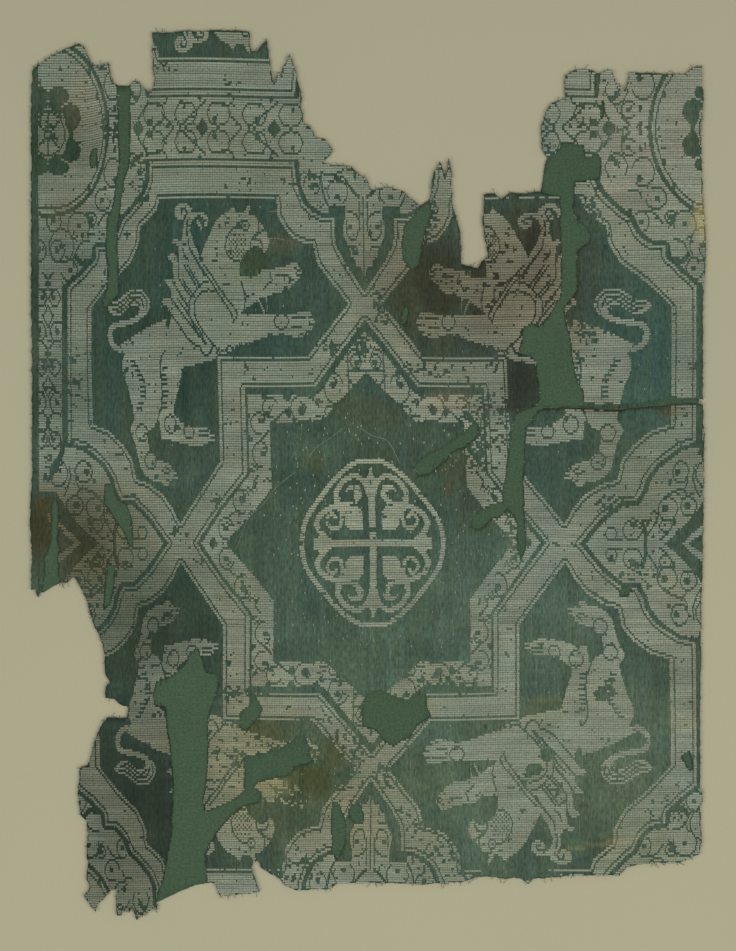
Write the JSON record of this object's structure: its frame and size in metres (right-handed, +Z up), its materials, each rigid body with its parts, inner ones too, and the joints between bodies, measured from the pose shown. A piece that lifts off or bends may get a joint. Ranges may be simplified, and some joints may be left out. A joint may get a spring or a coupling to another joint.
{
  "type": "brocade panel",
  "caption": "Torn flat panel of figured silk with interlaced straps, a star, griffins and scrolls, laid on a plain support cloth for display or dressing a set.",
  "frame": {"origin": "middle of the panel's bounding box on the surface it lies on, at the underside of the support cloth", "axes": "+Z up out of the cloth's face, +Y along the warp towards the top edge, +X along the weft towards the right selvedge"},
  "size_m": [0.338, 0.445, 0.0023],
  "materials": {
    "support_cloth": "plain woven cloth dyed dull green, matt",
    "figured_silk": "figured silk, faded dark green ground with pale silvery green pattern passes, soft sheen, stained and worn"
  },
  "bodies": {
    "root": {"support_cloth": "support_cloth", "silk_panel": "figured_silk", "silk_upper_piece": "figured_silk"}
  },
  "joints": []
}
